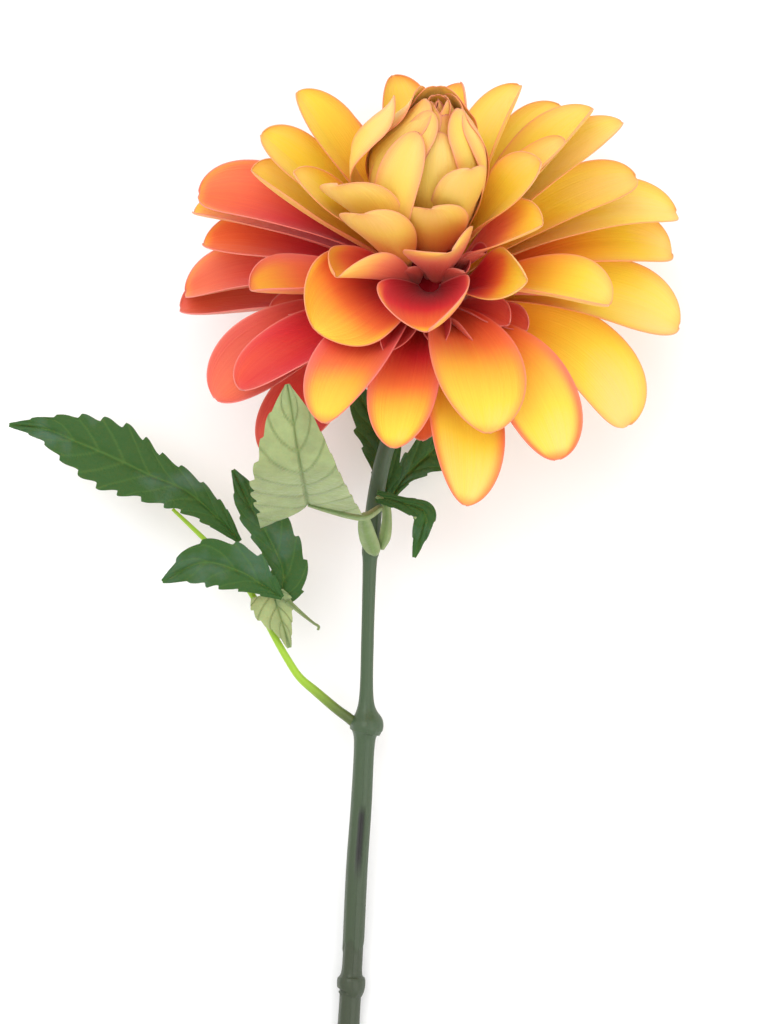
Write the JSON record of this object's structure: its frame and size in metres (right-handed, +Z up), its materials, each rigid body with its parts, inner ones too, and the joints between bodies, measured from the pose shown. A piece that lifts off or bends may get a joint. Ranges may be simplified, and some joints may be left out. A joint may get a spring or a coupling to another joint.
{
  "type": "artificial dahlia flower on a cut stem",
  "caption": "Double dahlia bloom of cupped, overlapping petals on a jointed stem with toothed leaves, lying down.",
  "frame": {"origin": "on the table, under the middle of the flower's outline as it lies", "axes": "+Y along the stem from its cut end to the bloom, +Z up from the table, +X to the side away from the long leaf"},
  "size_m": [0.2187, 0.3526, 0.1079],
  "materials": {
    "petal_gold": "satin, slightly translucent",
    "petal_amber": "satin, slightly translucent",
    "petal_red": "satin, slightly translucent",
    "petal_coral": "satin, slightly translucent",
    "stem": "satin",
    "stalk": "satin",
    "leaf_green": "matte with a faint sheen",
    "leaf_pale": "matte",
    "leaf_grey": "matte"
  },
  "bodies": {
    "root": {"petal_skirt_01": "petal_gold", "petal_skirt_02": "petal_gold", "petal_skirt_03": "petal_gold", "petal_skirt_04": "petal_gold", "petal_skirt_05": "petal_gold", "petal_skirt_06": "petal_amber", "petal_skirt_07": "petal_amber", "petal_skirt_08": "petal_coral", "petal_skirt_09": "petal_coral", "petal_skirt_10": "petal_coral", "petal_skirt_11": "petal_red", "petal_skirt_12": "petal_coral", "petal_lower_01": "petal_amber", "petal_lower_02": "petal_red", "petal_lower_03": "petal_red", "petal_lower_04": "petal_red", "petal_lower_05": "petal_coral", "petal_lower_06": "petal_coral", "petal_lower_07": "petal_coral", "petal_lower_08": "petal_coral", "petal_lower_09": "petal_gold", "petal_lower_10": "petal_gold", "petal_middle_01": "petal_amber", "petal_middle_02": "petal_red", "petal_middle_03": "petal_amber", "petal_middle_04": "petal_gold", "petal_middle_05": "petal_coral", "petal_middle_06": "petal_gold", "petal_middle_07": "petal_gold", "petal_middle_08": "petal_coral", "petal_middle_09": "petal_amber", "petal_upper_01": "petal_coral", "petal_upper_02": "petal_gold", "petal_upper_03": "petal_gold", "petal_upper_04": "petal_gold", "petal_upper_05": "petal_gold", "petal_upper_06": "petal_gold", "petal_upper_07": "petal_gold", "petal_upper_08": "petal_gold", "petal_upper_09": "petal_coral", "petal_upper_10": "petal_gold", "petal_upper_11": "petal_gold", "petal_upper_12": "petal_gold", "petal_inner_01": "petal_gold", "petal_inner_02": "petal_gold", "petal_inner_03": "petal_gold", "petal_inner_04": "petal_gold", "petal_inner_05": "petal_gold", "bud": "petal_gold", "receptacle": "stem", "stem": "stem", "stalk_left": "stalk", "leaflet_end": "leaf_green", "leaflet_side": "leaf_green", "leaflet_front": "leaf_green", "leaf_back_left": "leaf_green", "leaf_back_right": "leaf_green", "leaflet_low": "leaf_pale", "leaf_pale": "leaf_pale", "leaf_small": "leaf_grey"}
  },
  "joints": []
}
